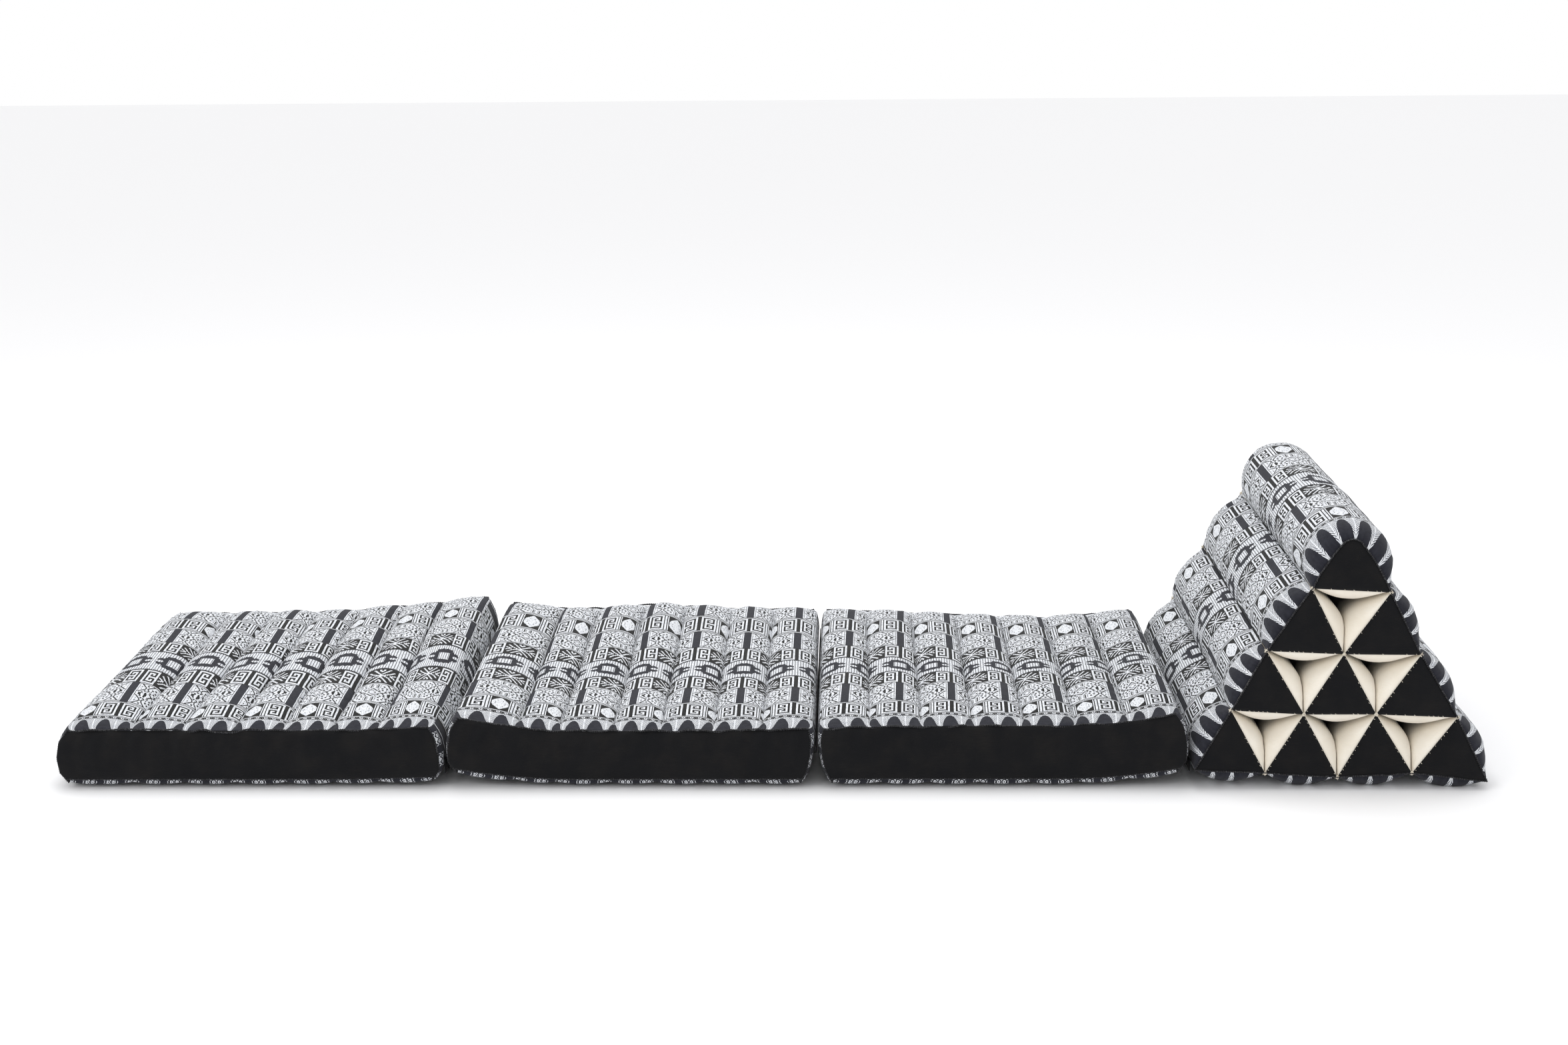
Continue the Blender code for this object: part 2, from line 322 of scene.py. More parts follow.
KEY_CHART = """
................................
################################
................................
..################.##.#.........
..################.##.#........#
..##............##.##.#.......##
..##............##.##.#......###
..##..########..##.##.#.....####
..##..########..##.##.#....#####
..##..##....##..##.##.#...######
..##..##....##..##.##.#..####.##
..##..##..####..##.##.#..#######
..##..##..####..##.##.#.########
..##..##........##.##.#.########
..##..##........##.##.#.###.####
..##..############.##.#.########
"""
CROSS_CHART = """
....############################
................................
....###..##########..###########
....#.##..###..###..########..##
....#####..##..##..#######.#.#.#
....#.####..####..####..####..##
....####.##..##..#####..##.#.#.#
....#.##.###.##.###..#######..##
....########....###..#####.#.#.#
....#.######.##.#######..###..##
....####.##..##..##.###..#######
....#.####..####..#.######..###.
....#####..#..#..#####..###.##..
....#.##..##..#.##..##..#####..#
....###..##########..####..#..##
....#...##..##..##..####..#..##.
....#.####..##..###..####..###.#
....####...###...###..##..######
....#.##...###...####...####..##
"""
STAR_CHART = """
................................
..##############................
..##############.......##....##.
..##..........##........##...##.
..##..........##.........##...##
..##..######..##...##.....##...#
..##..######..##....##.....##...
..##..##..##..##.....##.....##..
..##..##..##..##......##.....##.
..##..##......##.##....###....##
..##..##......##..###....###...#
..##..##########....###....#####
"""
LOZENGE_CHART = """
................................
#.##.##.##.##.##.##.##.##.##.##.
################################
################################
################################
################################
################################
###..###########################
#......#########################
...............#################
...............#################
...............#################
.................###############
.................###.###########
...................#....########
##########................######
##########..................####
##########..................####
##########..................####
##########.........########.####
##########.......###############
"""


def chart_rows(chart):
    """The chart's rows from the band's middle out, each as the numbers that its two halves spell in bits."""
    rows = []
    for line in reversed(chart.split()):
        halves = line[:CHART_HALF], line[CHART_HALF:]
        rows.append([sum(1 << n for n, cell in enumerate(half) if cell == "#") for half in halves])
    return rows


def choose(edge, value, below, above):
    """Below where the value is under the edge, else above."""
    over = value > edge
    return below * (1.0 - over) + above * over


def read_chart(chart, column, depth):
    """1 where the chart is white, at a column and at a depth from the middle of its band."""
    tree = column.tree
    rows = chart_rows(chart)
    lookup = add_node(tree, "ShaderNodeValToRGB")
    stops = lookup.color_ramp
    stops.interpolation = "CONSTANT"
    stops.elements.remove(stops.elements[1])
    stops.elements[0].position = 0.0
    for n, (near, far) in enumerate(rows):
        stop = stops.elements[0] if n == 0 else stops.elements.new(n / len(rows))
        stop.color = (near, far, 0.0, 1.0)
    row = (depth / CELL_DEPTH).floor() + 0.5
    feed(tree, lookup.inputs["Fac"], row / float(len(rows)))
    halves = wired(tree, "ShaderNodeSeparateColor", {0: lookup.outputs["Color"]})
    spelled = choose(CHART_HALF - 0.5, column, Wire(tree, halves[0]), Wire(tree, halves[1]))
    shifted = ((spelled + 0.5) / 2.0 ** (column % float(CHART_HALF))).floor()
    return shifted % 2.0 > 0.5


def from_middle(value, pitch):
    """Distance from the middle of the repeat, from 0 to half its pitch."""
    return value.pingpong(pitch / 2)


def chart_column(across, pitch):
    cell = (from_middle(across, pitch) * (2 * CHART_WIDTH / pitch)).floor()
    return cell.least(CHART_WIDTH - 1.0)


# Depth of each band of the cloth, from the middle of the lozenge band outwards
CLOTH_MIDDLE = 0.272
LOZENGE_EDGE = 0.042
STAR_EDGE = 0.090
CROSS_EDGE = 0.166
KEY_EDGE = 0.230
LOZENGE_REPEAT = REPEAT * 2 / 3
BAR_COLUMNS = 4
BLOCK_PITCH = LOZENGE_REPEAT / 15
BLOCK_LINE = 0.0005
FEATHER_PITCH = 0.0280
FEATHER_LENGTH = 0.036
LOBE_LENGTH = 0.033
LOBE_WIDTH = 0.0108
LOBE_POINT = 2.4
BARB_PITCH = 0.0031
BARB_SLOPE = 1.1
QUILL_WIDTH = 0.0008
RING_PITCH = REPEAT / 8
RING_GAP = 0.0045
RING_REACH = 0.0042
RING_LINE = 0.0008
SCROLL_PITCH = 0.0135
SCROLL_EYE = 0.0036
SCROLL_DEPTH = 0.0045
SCROLL_LINE = 0.0007
WEDGE_HEIGHT = 0.0034
LINE_DEPTH = 0.0165
MARK_PITCH = 0.027
MARK_REACH = 0.0088


def feather_border(across, depth):
    """White feathers whose tips reach the seam, between black lobes, with a row of rings behind them."""
    side = from_middle(across, FEATHER_PITCH)
    from_lobe = (FEATHER_PITCH / 2 - side) / LOBE_WIDTH
    lobe_top = (1.0 - from_lobe ** LOBE_POINT) * LOBE_LENGTH
    barb = ((depth - side * BARB_SLOPE) / BARB_PITCH).fract()
    open_share = 0.40 - ramp_between(depth, 0.004, FEATHER_LENGTH) * 0.08
    feather = (depth > lobe_top) * (barb > open_share).most(side < QUILL_WIDTH)
    ring_depth = (depth - (FEATHER_LENGTH + RING_GAP)) * 0.85
    ring = (from_middle(across, RING_PITCH) ** 2.0 + abs(ring_depth) ** 2.0).sqrt()
    rings = (ring.pingpong(2 * RING_LINE) > RING_LINE) * (ring < RING_REACH)
    return choose(FEATHER_LENGTH, depth, feather, rings)


def scroll_border(across, depth):
    """Pairs of white scrolls with small triangles between them, on black, along the underside's edge."""
    side = from_middle(across, SCROLL_PITCH)
    from_eye = (abs(side - SCROLL_EYE) ** 2.0 + abs(depth - SCROLL_DEPTH) ** 2.0).sqrt()
    scroll = (from_eye.pingpong(2 * SCROLL_LINE) > SCROLL_LINE) * (from_eye < RING_REACH)
    wedge = side * 1.6 + depth < WEDGE_HEIGHT
    row = scroll.most(wedge) * (from_middle(across, MARK_PITCH) < MARK_REACH)
    return (row * (depth < 0.013)).most(abs(depth - LINE_DEPTH) < 0.001)


def banded_figure(across, depth, border):
    """1 where the cloth is white, and 1 where its dark is the bluish yarn of the bars, lobes and lozenges."""
    out = abs(depth - CLOTH_MIDDLE)
    column = chart_column(across, REPEAT)
    lozenge = read_chart(LOZENGE_CHART, chart_column(across, LOZENGE_REPEAT), out)
    lozenge = lozenge * (from_middle(across, BLOCK_PITCH) > BLOCK_LINE).most(0.15)

    def band(chart, inner, outer):
        return read_chart(chart, column, abs(out - (inner + outer) / 2))

    star = band(STAR_CHART, LOZENGE_EDGE, STAR_EDGE)
    keys = band(KEY_CHART, CROSS_EDGE, KEY_EDGE)
    inner_cross = band(CROSS_CHART, STAR_EDGE, CROSS_EDGE)
    outer_cross = band(CROSS_CHART, KEY_EDGE, KEY_EDGE + CROSS_EDGE - STAR_EDGE)
    figure = choose(0.5, depth < CLOTH_MIDDLE, outer_cross, border(across, depth))
    figure = choose(KEY_EDGE, out, keys, figure)
    figure = choose(CROSS_EDGE, out, inner_cross, figure)
    figure = choose(STAR_EDGE, out, star, figure)
    is_bar = column < BAR_COLUMNS - 0.5
    outside = choose(KEY_EDGE, out, 0.0, is_bar.most(depth < FEATHER_LENGTH))
    bluish = choose(STAR_EDGE, out, out < LOZENGE_EDGE, choose(CROSS_EDGE, out, is_bar, outside))
    return choose(LOZENGE_EDGE, out, lozenge, figure), bluish


DARK_YARN = (0.0050, 0.0046, 0.0044)
DARK_WORN = (0.0090, 0.0086, 0.0086)
SOLID_YARN = (0.0120, 0.0127, 0.0190)
SOLID_WORN = (0.0210, 0.0218, 0.0305)
WHITE_YARN = (0.76, 0.775, 0.80)
WHITE_SHADED = (0.44, 0.465, 0.515)
FIGURE_THREAD = 0.0009


def figured_cloth(name, border):
    material, tree, shader = shader_tree(name, 0.85, 0.06)
    cloth = add_node(tree, "ShaderNodeUVMap", uv_map="cloth").outputs[0]
    across, depth, height = split_place(tree, cloth)
    figure, bluish = banded_figure(across, depth, border)
    yarns = cloud(tree, stretched(tree, cloth, (7.0, 1.0, 1.0)), 0.009)
    whites = blend_colours(ramp_between(yarns, 0.40, 0.74), WHITE_YARN, WHITE_SHADED)
    worn = ramp_between(cloud(tree, cloth, 0.006, 3.0), 0.35, 0.7)
    darks = blend_colours(worn, DARK_YARN, DARK_WORN)
    darks = blend_colours(bluish, darks, blend_colours(worn, SOLID_YARN, SOLID_WORN))
    feed(tree, shader.inputs["Base Color"], blend_colours(figure, darks, whites))
    weave = thread_crossing(across, depth, FIGURE_THREAD)
    raise_bump(tree, shader, weave * 0.2 + figure * 0.5 + yarns * 0.6, 0.0004, 0.5)
    return material


feather_cloth = figured_cloth("figured_cloth_feather_edge", feather_border)
scroll_cloth = figured_cloth("figured_cloth_scroll_edge", scroll_border)

# Mats
# Each mat is a figured cotton bag, sewn across into seven channels that are stuffed with kapok. The top
# rises over every channel and dips at its stitching. The underside is the same cloth, turned up a little at
# its foot. LOFT is how much higher the stuffing stands than in the solids, here and in the stack.
DEPTH = 0.530
LEFT_END = -0.850
HALF_DEPTH = DEPTH / 2
SKIN = 0.0018
CHANNELS = 7
CREST = 0.0155
FRONT_SLOPE = 0.125
BACK_SLOPE = 0.110
LOFT = 0.008
BACK_LIFT = {"mat_1": (0.007, 0.010, 0.026), "mat_2": (0.006, 0.020, 0.009), "mat_3": (0.008, -0.003, -0.008)}
LIFT_START, LIFT_END = 0.20, 0.95
BASE_GROOVE = 0.011
BASE_FLAT = 0.0028
EDGE_ROLL = 0.055
SIDE_BULGE = 0.006
CORNER_DRAW_IN = 0.005
CORNER_ROLL = 0.016
END_BEND = 0.35
MAT_COLUMNS = ("name", "left", "length", "left_end", "right_end",
               "seam_left", "seam_middle", "seam_right", "lift_left", "lift_right")
MAT_ROWS = (
    ("mat_1", 0.0000, 0.4650, "free", "base_hinge", 0.064, 0.064, 0.068, 0.000, 0.003),
    ("mat_2", 0.4670, 0.4400, "base_hinge", "top_hinge", 0.080, 0.063, 0.066, 0.013, 0.000),
    ("mat_3", 0.9090, 0.4393, "top_hinge", "base_hinge", 0.066, 0.069, 0.083, 0.000, 0.013),
)
MATS = [dict(zip(MAT_COLUMNS, row)) for row in MAT_ROWS]
END_HEIGHTS = (0.0, 0.2, 0.5, 0.8, 1.0)
END_DRAW_IN = {
    "free": (0.010, 0.002, 0.000, 0.003, 0.012),
    "top_hinge": (0.013, 0.006, 0.002, 0.000, 0.003),
    "base_hinge": (0.009, 0.000, 0.000, 0.004, 0.012),
}
# Where the edges of the cloth's bands lie, back from the front seam
CLOTH_BANDS = (0.0, 0.042, 0.106, 0.182, 0.230, 0.314, 0.362, 0.438, 0.502, 0.590)
MAT_BANDS = {
    "mat_1": (0.0, 0.030, 0.075, 0.151, 0.208, 0.286, 0.330, 0.390, 0.440, 0.530),
    "mat_2": (0.0, 0.031, 0.072, 0.131, 0.178, 0.244, 0.294, 0.360, 0.431, 0.530),
    "mat_3": (0.0, 0.030, 0.067, 0.137, 0.187, 0.250, 0.305, 0.374, 0.441, 0.530),
}
# Shares of each mat's length: its sewn grooves, and the cloth's solid bars at the front and at the back
GROOVES = {
    "mat_1": (0.0, 0.180, 0.318, 0.459, 0.594, 0.728, 0.850, 1.0),
    "mat_2": (0.0, 0.175, 0.292, 0.442, 0.576, 0.723, 0.859, 1.0),
    "mat_3": (0.0, 0.140, 0.284, 0.426, 0.570, 0.712, 0.855, 1.0),
}
BARS = {
    "mat_1": ((0.125, 0.268, 0.428, 0.580, 0.726, 0.865, 0.995),
              (0.080, 0.240, 0.398, 0.555, 0.703, 0.845, 0.990)),
    "mat_2": ((0.014, 0.185, 0.333, 0.487, 0.635, 0.791, 0.946),
              (0.014, 0.180, 0.328, 0.470, 0.632, 0.788, 0.944)),
    "mat_3": ((0.065, 0.223, 0.370, 0.524, 0.679, 0.833, 0.973),
              (0.096, 0.252, 0.403, 0.550, 0.700, 0.850, 0.990)),
}
CHANNEL_CUTS = 14
HEIGHT_CUTS = 8
PUCKER = 0.0016
TURN_UP = 0.07
CLOTH_SLACK = 0.0021
SIDE_CLOTH = 0.062
END_CLOTH = 0.070
SIDES = (("front", -1.0), ("back", 1.0))


def quarter_round(distance, radius):
    inward = min(1.0, distance / radius)
    return math.sqrt(1.0 - (1.0 - inward) ** 2)


def between(steps, values, at):
    """Value at a place between listed steps."""
    for n in range(len(steps) - 1):
        if at <= steps[n + 1]:
            share = (at - steps[n]) / (steps[n + 1] - steps[n])
            return values[n] + (values[n + 1] - values[n]) * share
    return values[-1]


def along_length(mat, key, u):
    middle = mat.get(key + "_middle", 0.0)
    left = max(0.0, 1.0 - u / END_BEND) ** 2
    right = max(0.0, 1.0 - (1.0 - u) / END_BEND) ** 2
    return middle + (mat[key + "_left"] - middle) * left + (mat[key + "_right"] - middle) * right


def in_channel(mat, u):
    """Place across its channel, from 0 to 1, and the channel's width as a share of the mat's length."""
    grooves = GROOVES[mat["name"]]
    for low, high in zip(grooves, grooves[1:]):
        if u <= high:
            return (u - low) / (high - low), high - low
    return 1.0, high - low


def channel_arch(mat, u):
    t, width = in_channel(mat, u)
    return math.sqrt(abs(math.sin(math.pi * t))) * math.sqrt(width * CHANNELS)


def groove_distance(mat, u):
    t, width = in_channel(mat, u)
    return min(t, 1.0 - t) * width * mat["length"]


def edge_slope(depth):
    """0 at the front and back seams, rising to 1 over the stuffing."""
    front = min(1.0, depth / FRONT_SLOPE)
    return min(1.0 - (1.0 - front) ** 2.4, quarter_round(DEPTH - depth, BACK_SLOPE))


def back_lift(mat, u, v):
    """How much fuller the mat is towards its back edge, where the stuffing has gathered."""
    share = min(1.0, max(0.0, (v - LIFT_START) / (LIFT_END - LIFT_START)))
    return between((0.0, 0.5, 1.0), BACK_LIFT[mat["name"]], u) * share * share * (3.0 - 2.0 * share)


def mat_point(mat, u, v, w):
    """A point of the mat's skin: u along its length, v from front to back, w from base to top."""
    arch = channel_arch(mat, u)
    roll = quarter_round(min(v, 1.0 - v) * DEPTH, EDGE_ROLL)
    top = along_length(mat, "seam", u) + LOFT + back_lift(mat, u, v) + CREST * arch * edge_slope(v * DEPTH)
    base = along_length(mat, "lift", u) + max(0.0, BASE_GROOVE * (1.0 - min(1.0, arch) * roll) - BASE_FLAT)
    round_in = CORNER_DRAW_IN * (1.0 - quarter_round(min(v, 1.0 - v) * DEPTH, CORNER_ROLL))
    left = mat["left"] + between(END_HEIGHTS, END_DRAW_IN[mat["left_end"]], w) + round_in
    right = mat["left"] + mat["length"] - between(END_HEIGHTS, END_DRAW_IN[mat["right_end"]], w) - round_in
    side = SIDE_BULGE * math.sin(math.pi * w) - SIDE_BULGE - SKIN
    outward = {0.0: -1.0, 1.0: 1.0}.get(v, 0.0)
    inset = 1.0 if outward else 1.0 - (SIDE_BULGE + SKIN) / HALF_DEPTH
    y = (2.0 * v - 1.0) * HALF_DEPTH * inset + outward * side
    return Vector((LEFT_END + left + (right - left) * u, y, base + (top - base) * w))


def crowded(count):
    """Shares from 0 to 1, closer together at both ends."""
    return [(1.0 - math.cos(math.pi * n / count)) / 2 for n in range(count)]


def depth_shares():
    """Shares of the depth, every 5 mm and closer near both seams."""
    near = [0.0015, 0.0035, 0.006, 0.009, 0.0125, 0.0165, 0.021, 0.0255]
    far = [0.030 + 0.005 * n for n in range(48)]
    half = near + far
    return [0.0] + [d / DEPTH for d in half] + [1.0 - d / DEPTH for d in reversed(half)] + [1.0]


def pucker_height(mat, seed, u, v):
    """Small gathers that run in from the front and back seams and from the channel stitching."""
    x, y = u * mat["length"], v * DEPTH
    from_seam = min(y, DEPTH - y)
    from_groove = groove_distance(mat, u)
    at_seam = noise.noise(Vector((x * 85.0, y * 9.0, seed))) * math.exp(-from_seam / 0.022)
    at_groove = noise.noise(Vector((x * 22.0, y * 75.0, seed + 5.0))) * math.exp(-from_groove / 0.010)
    broad = noise.noise(Vector((x * 14.0, y * 11.0, seed + 9.0)))
    hold = min(1.0, from_seam / 0.004) * min(1.0, from_groove / 0.004)
    return hold * PUCKER * (1.3 * at_seam + 1.2 * at_groove + 0.9 * broad)


def new_piece(name, bm, *materials):
    mesh = bpy.data.meshes.new(name)
    bm.normal_update()
    bm.to_mesh(mesh)
    bm.free()
    for material in materials:
        mesh.materials.append(material)
    mesh.polygons.foreach_set("use_smooth", [True] * len(mesh.polygons))
    piece = bpy.data.objects.new(name, mesh)
    scene.collection.objects.link(piece)
    return piece


def join_rings(bm, rings, closed=True):
    """The faces between each ring of vertices and the next, in order."""
    faces = []
    for ring, following in zip(rings, rings[1:]):
        for n in range(len(ring) if closed else len(ring) - 1):
            after = (n + 1) % len(ring)
            faces.append(bm.faces.new((ring[n], ring[after], following[after], following[n])))
    return faces


def boxed_skin(us, vs, ws, place):
    """A closed skin over the six sides of a grid: its mesh, and each vertex's share of the grid."""
    bm = bmesh.new()
    last = (len(us) - 1, len(vs) - 1, len(ws) - 1)
    verts = {}

    def vert(i, j, k):
        if (i, j, k) not in verts:
            verts[i, j, k] = bm.verts.new(place(us[i], vs[j], ws[k]))
        return verts[i, j, k]

    for axis in range(3):
        first, second = [n for n in range(3) if n != axis]
        for end in (0, last[axis]):
            for a in range(last[first]):
                for b in range(last[second]):
                    ring = []
                    for da, db in ((0, 0), (1, 0), (1, 1), (0, 1)):
                        key = [0, 0, 0]
                        key[axis], key[first], key[second] = end, a + da, b + db
                        ring.append(vert(*key))
                    inward = (end == 0) != (axis == 1)
                    bm.faces.new(reversed(ring) if inward else ring)
    bm.verts.index_update()
    shares = {v.index: (us[i], vs[j], ws[k]) for (i, j, k), v in verts.items()}
    return bm, shares


def map_cloth(bm, shares, uv_of):
    layer = bm.loops.layers.uv.new("cloth")
    for face in bm.faces:
        middle = [sum(shares[v.index][n] for v in face.verts) / len(face.verts) for n in range(3)]
        for loop in face.loops:
            loop[layer].uv = uv_of(middle, *shares[loop.vert.index])


def plump(piece, held, pressure, growth, reach):
    """Blows the cloth up a little between its held seams, each point moving no further than the reach."""
    group = piece.vertex_groups.new(name="held")
    for index, weight in held.items():
        if weight > 0.0:
            group.add([index], weight, "REPLACE")
    before = [v.co.copy() for v in piece.data.vertices]
    cloth = piece.modifiers.new("stuffing", "CLOTH")
    cloth.settings.quality = 4
    cloth.settings.mass = 0.15
    cloth.settings.tension_stiffness = 12.0
    cloth.settings.compression_stiffness = 6.0
    cloth.settings.shear_stiffness = 3.0
    cloth.settings.bending_stiffness = 0.06
    cloth.settings.use_pressure = True
    cloth.settings.uniform_pressure_force = pressure
    cloth.settings.shrink_min = -growth
    cloth.settings.vertex_group_mass = "held"
    cloth.settings.effector_weights.gravity = 0.0
    cloth.collision_settings.use_collision = False
    cloth.collision_settings.use_self_collision = False
    cloth.point_cache.frame_start = 1
    cloth.point_cache.frame_end = 20
    for step in range(1, 21):
        scene.frame_set(step)
    settled = piece.evaluated_get(bpy.context.evaluated_depsgraph_get()).to_mesh()
    after = [v.co.copy() for v in settled.vertices]
    piece.modifiers.remove(cloth)
    piece.vertex_groups.remove(group)
    for vert, start, end in zip(piece.data.vertices, before, after):
        move = end - start
        if move.length > 0.0:
            move *= reach * math.tanh(move.length / reach) / move.length
        vert.co = start + move
    piece.data.update()
    scene.frame_set(1)


def cloth_across(mat, u, v, marks, lengths):
    """Distance along the cloth, which runs down into every groove, with a solid bar at each whole repeat."""
    front, back = BARS[mat["name"]]
    bars = [between(marks, lengths, a + (b - a) * v) for a, b in zip(front, back)]
    at = between(marks, lengths, u)
    bars = [2 * bars[0] - bars[1]] + bars + [2 * bars[-1] - bars[-2]]
    return REPEAT * between(bars, list(range(len(bars))), max(at, bars[0]))


def build_mat(mat, seed):
    name = mat["name"]
    grooves = GROOVES[name]
    cuts = crowded(CHANNEL_CUTS)
    us = [low + (high - low) * cut for low, high in zip(grooves, grooves[1:]) for cut in cuts]
    us.append(1.0)
    vs = depth_shares()
    ws = [0.0, TURN_UP] + [n / HEIGHT_CUTS for n in range(1, HEIGHT_CUTS + 1)]

    def place(u, v, w):
        point = mat_point(mat, u, v, w)
        if w == 1.0:
            point.z += pucker_height(mat, seed, u, v)
        return point

    bm, shares = boxed_skin(us, vs, ws, place)
    middle_line = [mat_point(mat, u, 0.5, 1.0) for u in us]
    lengths = [0.0]
    for one, following in zip(middle_line, middle_line[1:]):
        lengths.append(lengths[-1] + (following - one).length)

    def cloth_at(middle, u, v, w):
        x, y = u * mat["length"], v * DEPTH
        slack = CLOTH_SLACK * noise.noise(Vector((x * 9.0, y * 4.0, seed)))
        if middle[2] == 1.0:
            return cloth_across(mat, u, v, us, lengths) + slack, between(MAT_BANDS[name], CLOTH_BANDS, y)
        if middle[0] in (0.0, 1.0):
            return w * END_CLOTH, min(y, DEPTH - y)
        if middle[1] in (0.0, 1.0):
            return x, SIDE_CLOTH * (TURN_UP - w)
        return x, SIDE_CLOTH * TURN_UP + min(y, DEPTH - y)

    map_cloth(bm, shares, cloth_at)
    for face in bm.faces:
        middle = [sum(shares[v.index][n] for v in face.verts) / 4 for n in range(3)]
        gusset = middle[1] in (0.0, 1.0) and middle[2] > TURN_UP
        face.material_index = 0 if middle[2] == 1.0 else 2 if gusset else 1
    piece = new_piece(name + "_cover", bm, feather_cloth, scroll_cloth, black_cotton)
    held = {}
    for index, (u, v, w) in shares.items():
        from_seam = min(v, 1.0 - v) * DEPTH
        held[index] = 1.0 if w < 1.0 or groove_distance(mat, u) < 0.0015 or from_seam < 0.001 else 0.0
    plump(piece, held, 3.0, 0.05, 0.004)
    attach(piece, "root")
    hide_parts(name)
    return piece


for seed, mat in enumerate(MATS):
    build_mat(mat, 3.7 + 11.0 * seed)

# Gussets
# A strip of plain black cotton closes the front and the back of each mat between its top and its underside.
# It is sewn on a little full, so that it bulges and puckers below the seam.
GUSSET_CUTS = 12
GUSSET_GAP = 0.0006
GUSSET_CLOTH = 0.0011
GUSSET_PUCKER = 0.0028
GUSSET_FULL = 0.001


def build_gusset(mat, side, seed):
    word, out = SIDES[side]
    name = f"gusset_{word}_{mat['name'][-1]}"
    us = [n / 180 for n in range(181)]
    ws = [TURN_UP + (1.0 - TURN_UP) * n / GUSSET_CUTS for n in range(GUSSET_CUTS + 1)]
    bm = bmesh.new()
    grid = []
    for u in us:
        column = []
        for w in ws:
            point = mat_point(mat, u, float(side), w)
            x = u * mat["length"]
            near_top = math.exp(-(1.0 - w) * 2.2)
            fold = noise.noise(Vector((x * 70.0, w * 1.2, seed))) * near_top
            broad = noise.noise(Vector((x * 17.0, w * 2.5, seed + 4.0)))
            hold = min(1.0, 8.0 * min(w - TURN_UP, 1.0 - w))
            full = GUSSET_PUCKER * (1.4 * fold + 0.9 * broad) + GUSSET_FULL
            point.y += out * (GUSSET_GAP + hold * max(0.0, full))
            column.append(bm.verts.new(point))
        grid.append(column)
    join_rings(bm, grid, closed=False)
    if word == "front":
        bmesh.ops.reverse_faces(bm, faces=bm.faces)
    piece = new_piece(name + "_cloth", bm, black_cotton)
    wall = piece.modifiers.new("cloth", "SOLIDIFY")
    wall.thickness = GUSSET_CLOTH
    wall.offset = 1.0
    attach(piece, "root")
    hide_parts(name)
    return piece


for number, mat in enumerate(MATS):
    for side in (0, 1):
        build_gusset(mat, side, 20.0 + 7.0 * number + 3.0 * side)

# Hinges
# The covers of neighbouring pieces are sewn together in one pressed seam, which lets them fold.
HINGE_ROWS = (
    ("hinge_1_2", 0.4660, 0.018, 0.034),
    ("hinge_2_3", 0.9080, 0.043, 0.059),
    ("hinge_3_stack", 1.3491, 0.020, 0.034),
)
HINGE_CLOTH = 0.001
HINGE_END = 0.012
HINGE_CUTS = 60
HINGE_SWAY = 0.0012


def build_hinge(name, across, low, high):
    bm = bmesh.new()
    rings = []
    for n in range(HINGE_CUTS + 1):
        y = -HALF_DEPTH + HINGE_END + (DEPTH - 2 * HINGE_END) * n / HINGE_CUTS
        rise = HINGE_SWAY * noise.noise(Vector((across * 9.0, y * 26.0, 1.5)))
        half = HINGE_CLOTH / 2
        outline = ((-half, low), (half, low), (half, high + rise), (-half, high + rise))
        rings.append([bm.verts.new((LEFT_END + across + x, y, z)) for x, z in outline])
    join_rings(bm, rings)
    bm.faces.new(rings[0])
    bm.faces.new(rings[-1])
    bmesh.ops.recalc_face_normals(bm, faces=bm.faces)
    piece = new_piece(name + "_cloth", bm, black_cotton)
    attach(piece, "root")
    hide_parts(name)


for row in HINGE_ROWS:
    build_hinge(*row)

# Stack of pipes
# Ten three-sided pipes are packed in rows of four, three, two and one. The sides that face outwards are
# figured cloth, and the walls round the six hollows are cream cotton that swells until it meets.
PIPE_ROWS = 4
PIPES = [(level, place) for level in range(PIPE_ROWS) for place in range(PIPE_ROWS - level)]
STACK_LEFT = 1.3532
SEAMS_ACROSS = ((0.000, 0.083, 0.168, 0.255, 0.343), (0.041, 0.126, 0.210, 0.305),
                (0.080, 0.170, 0.259), (0.130, 0.221), (0.175,))
SEAMS_UP = ((0.017, 0.013, 0.008, 0.013, 0.003), (0.090, 0.085, 0.085, 0.081),
            (0.162, 0.158, 0.157), (0.237, 0.232), (0.301,))
SIDE_WALL_BULGE = 0.0180
TOP_WALL_BULGE = 0.0165
WALL_LEAN = 0.45
WALL_ROLL = 0.030
OUTER_BULGE = 0.019
OUTER_ROLL = 0.036
OUTER_ROUND = 0.72
CROWN_TOP = 0.313 + LOFT
CROWN_END = 0.14
CROWN_BLUNT = 0.0115
FLOOR_BULGE = 0.021
FLOOR_ROUND = 0.6
GAP = 0.0004
SIDE_CUTS = 22
ROLL_FACE = 0.103
ROLL_BANDS = (0.0, 0.040, 0.102, 0.175, 0.221, 0.302, 0.348, 0.421, 0.484, 0.5264)
RIDGE_SHIFT = 0.004
ROLL_PUCKERS = {"outer": 0.0022, "base": 0.0, "wall": 0.0004}


def corner(level, place):
    return Vector((LEFT_END + STACK_LEFT + SEAMS_ACROSS[level][place], SEAMS_UP[level][place] + LOFT))


def pipe_corners(level, place):
    return corner(level, place), corner(level, place + 1), corner(level + 1, place)


def incentre(a, b, c):
    la, lb, lc = (b - c).length, (c - a).length, (a - b).length
    return (a * la + b * lb + c * lc) / (la + lb + lc)


